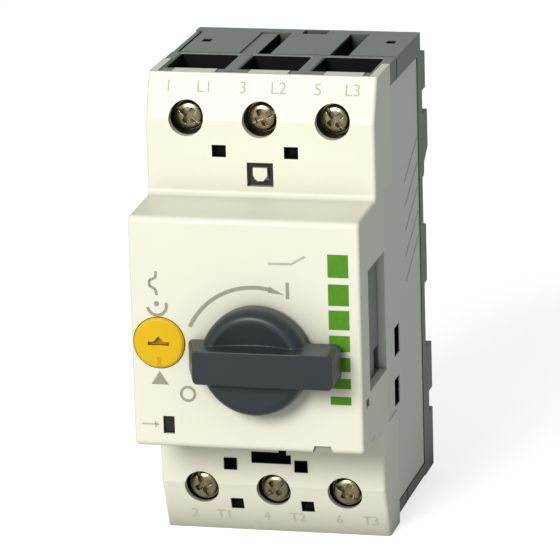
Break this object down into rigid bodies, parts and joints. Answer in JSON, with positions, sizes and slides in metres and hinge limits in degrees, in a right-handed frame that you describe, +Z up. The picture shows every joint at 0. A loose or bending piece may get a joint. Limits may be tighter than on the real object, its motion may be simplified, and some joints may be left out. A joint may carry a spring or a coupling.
{
  "type": "motor protection breaker",
  "caption": "Rail-mounted three-pole motor protection breaker with a rotary handle, a current-setting dial, a test slot and box terminals above and below.",
  "frame": {"origin": "centre of the face that lies on the mounting rail, at half width and half height", "axes": "+X to the right of a person facing the front, +Y from the front towards the rail, +Z up"},
  "size_m": [0.045, 0.076, 0.093],
  "materials": {
    "cream_plastic": "fine satin grain",
    "grey_plastic": "fine satin grain",
    "dark_plastic": "fine matt grain",
    "black_plastic": "matt",
    "knob_plastic": "satin",
    "dial_plastic": "satin",
    "carrier_plastic": "matt",
    "bobbin_plastic": "matt",
    "fibre": "matt",
    "zinc_steel": "yellow chromate on zinc",
    "plain_steel": "rolled sheet",
    "spring_steel": "drawn wire",
    "copper": "drawn copper",
    "tinned_copper": "tinned",
    "bimetal": "rolled strip"
  },
  "bodies": {
    "housing": {"front_hood": "cream_plastic", "mid_housing": "grey_plastic", "rear_base": "dark_plastic", "line_terminal_deck": "dark_plastic", "load_terminal_deck": "dark_plastic", "side_port_panel_right": "dark_plastic", "side_port_panel_left": "dark_plastic", "line_terminal_bars": "tinned_copper", "coil_contact_bars": "tinned_copper", "load_terminal_bars": "tinned_copper", "mechanism_frame": "plain_steel", "reset_spring": "spring_steel", "arc_chute_1": "fibre", "arc_chute_2": "fibre", "arc_chute_3": "fibre", "magnet_coil_1": "copper", "magnet_coil_2": "copper", "magnet_coil_3": "copper", "coil_bobbins": "bobbin_plastic", "magnet_yokes": "plain_steel", "bimetal_strips": "bimetal", "heater_windings": "copper", "foot_spring": "spring_steel", "plunger_spring_1": "spring_steel", "plunger_spring_2": "spring_steel", "plunger_spring_3": "spring_steel"},
    "knob": {"rotary_knob": "knob_plastic", "knob_shaft": "plain_steel"},
    "dial": {"setting_dial": "dial_plastic"},
    "test": {"test_lever": "black_plastic"},
    "trip": {"trip_slide": "carrier_plastic"},
    "toggle": {"toggle_lever": "plain_steel"},
    "carrier": {"contact_carrier": "carrier_plastic", "contact_springs": "spring_steel", "contact_bridge_1": "tinned_copper", "contact_bridge_2": "tinned_copper", "contact_bridge_3": "tinned_copper"},
    "foot": {"din_foot": "plain_steel"},
    "plunger_body_1": {"plunger_1": "plain_steel"},
    "line_screw_body_1": {"line_screw_1": "zinc_steel"},
    "line_cage_body_1": {"line_cage_1": "zinc_steel"},
    "load_screw_body_1": {"load_screw_1": "zinc_steel"},
    "load_cage_body_1": {"load_cage_1": "zinc_steel"},
    "plunger_body_2": {"plunger_2": "plain_steel"},
    "line_screw_body_2": {"line_screw_2": "zinc_steel"},
    "line_cage_body_2": {"line_cage_2": "zinc_steel"},
    "load_screw_body_2": {"load_screw_2": "zinc_steel"},
    "load_cage_body_2": {"load_cage_2": "zinc_steel"},
    "plunger_body_3": {"plunger_3": "plain_steel"},
    "line_screw_body_3": {"line_screw_3": "zinc_steel"},
    "line_cage_body_3": {"line_cage_3": "zinc_steel"},
    "load_screw_body_3": {"load_screw_3": "zinc_steel"},
    "load_cage_body_3": {"load_cage_3": "zinc_steel"}
  },
  "joints": [
    {"name": "knob_turn", "type": "hinge", "parent": "housing", "child": "knob", "pos_m": [0.0026, -0.064, -0.004], "axis": [0, 1, 0], "range_deg": [0, 90]},
    {"name": "toggle_swing", "type": "hinge", "parent": "housing", "child": "toggle", "pos_m": [0, -0.0394, 0.0205], "axis": [1, 0, 0], "range_deg": [0, 20]},
    {"name": "carrier_slide", "type": "slide", "parent": "housing", "child": "carrier", "axis": [0, 1, 0], "range_m": [0, 0.0028]},
    {"name": "dial_turn", "type": "hinge", "parent": "housing", "child": "dial", "pos_m": [-0.017, -0.058, -0.0021], "axis": [0, 1, 0], "range_deg": [0, 270]},
    {"name": "test_push", "type": "slide", "parent": "housing", "child": "test", "axis": [0, 1, 0], "range_m": [0, 0.0015], "stiffness_N_per_m": 250, "springref_m": -0.001},
    {"name": "trip_shift", "type": "slide", "parent": "housing", "child": "trip", "axis": [1, 0, 0], "range_m": [0, 0.0015]},
    {"name": "foot_release", "type": "slide", "parent": "housing", "child": "foot", "axis": [0, 0, -1], "range_m": [0, 0.004], "stiffness_N_per_m": 1500, "springref_m": -0.002, "deforming": ["foot_spring"]},
    {"name": "plunger_lift_1", "type": "slide", "parent": "housing", "child": "plunger_body_1", "axis": [0, 0, 1], "range_m": [0, 0.0025], "stiffness_N_per_m": 60, "springref_m": -0.002, "deforming": ["plunger_spring_1"]},
    {"name": "line_screw_turn_1", "type": "hinge", "parent": "housing", "child": "line_screw_body_1", "pos_m": [-0.0145, -0.04, 0.0382], "axis": [0, 1, 0], "range_deg": [0, 1440]},
    {"name": "line_cage_lift_1", "type": "slide", "parent": "housing", "child": "line_cage_body_1", "axis": [0, -1, 0], "range_m": [0, 0.0028]},
    {"name": "load_screw_turn_1", "type": "hinge", "parent": "housing", "child": "load_screw_body_1", "pos_m": [-0.0145, -0.0378, -0.037], "axis": [0, 1, 0], "range_deg": [0, 1440]},
    {"name": "load_cage_lift_1", "type": "slide", "parent": "housing", "child": "load_cage_body_1", "axis": [0, -1, 0], "range_m": [0, 0.0028]},
    {"name": "plunger_lift_2", "type": "slide", "parent": "housing", "child": "plunger_body_2", "axis": [0, 0, 1], "range_m": [0, 0.0025], "stiffness_N_per_m": 60, "springref_m": -0.002, "deforming": ["plunger_spring_2"]},
    {"name": "line_screw_turn_2", "type": "hinge", "parent": "housing", "child": "line_screw_body_2", "pos_m": [0, -0.04, 0.0382], "axis": [0, 1, 0], "range_deg": [0, 1440]},
    {"name": "line_cage_lift_2", "type": "slide", "parent": "housing", "child": "line_cage_body_2", "axis": [0, -1, 0], "range_m": [0, 0.0028]},
    {"name": "load_screw_turn_2", "type": "hinge", "parent": "housing", "child": "load_screw_body_2", "pos_m": [0, -0.0378, -0.037], "axis": [0, 1, 0], "range_deg": [0, 1440]},
    {"name": "load_cage_lift_2", "type": "slide", "parent": "housing", "child": "load_cage_body_2", "axis": [0, -1, 0], "range_m": [0, 0.0028]},
    {"name": "plunger_lift_3", "type": "slide", "parent": "housing", "child": "plunger_body_3", "axis": [0, 0, 1], "range_m": [0, 0.0025], "stiffness_N_per_m": 60, "springref_m": -0.002, "deforming": ["plunger_spring_3"]},
    {"name": "line_screw_turn_3", "type": "hinge", "parent": "housing", "child": "line_screw_body_3", "pos_m": [0.0143, -0.04, 0.0382], "axis": [0, 1, 0], "range_deg": [0, 1440]},
    {"name": "line_cage_lift_3", "type": "slide", "parent": "housing", "child": "line_cage_body_3", "axis": [0, -1, 0], "range_m": [0, 0.0028]},
    {"name": "load_screw_turn_3", "type": "hinge", "parent": "housing", "child": "load_screw_body_3", "pos_m": [0.0143, -0.0378, -0.037], "axis": [0, 1, 0], "range_deg": [0, 1440]},
    {"name": "load_cage_lift_3", "type": "slide", "parent": "housing", "child": "load_cage_body_3", "axis": [0, -1, 0], "range_m": [0, 0.0028]}
  ],
  "couplings": [
    {"joint": "knob_turn", "follows": "carrier_slide", "rad_per_m": 561},
    {"joint": "toggle_swing", "follows": "carrier_slide", "rad_per_m": 124.67},
    {"joint": "trip_shift", "follows": "test_push", "ratio": 1},
    {"joint": "line_screw_turn_1", "follows": "line_cage_lift_1", "rad_per_m": 8976},
    {"joint": "load_screw_turn_1", "follows": "load_cage_lift_1", "rad_per_m": 8976},
    {"joint": "line_screw_turn_2", "follows": "line_cage_lift_2", "rad_per_m": 8976},
    {"joint": "load_screw_turn_2", "follows": "load_cage_lift_2", "rad_per_m": 8976},
    {"joint": "line_screw_turn_3", "follows": "line_cage_lift_3", "rad_per_m": 8976},
    {"joint": "load_screw_turn_3", "follows": "load_cage_lift_3", "rad_per_m": 8976}
  ]
}
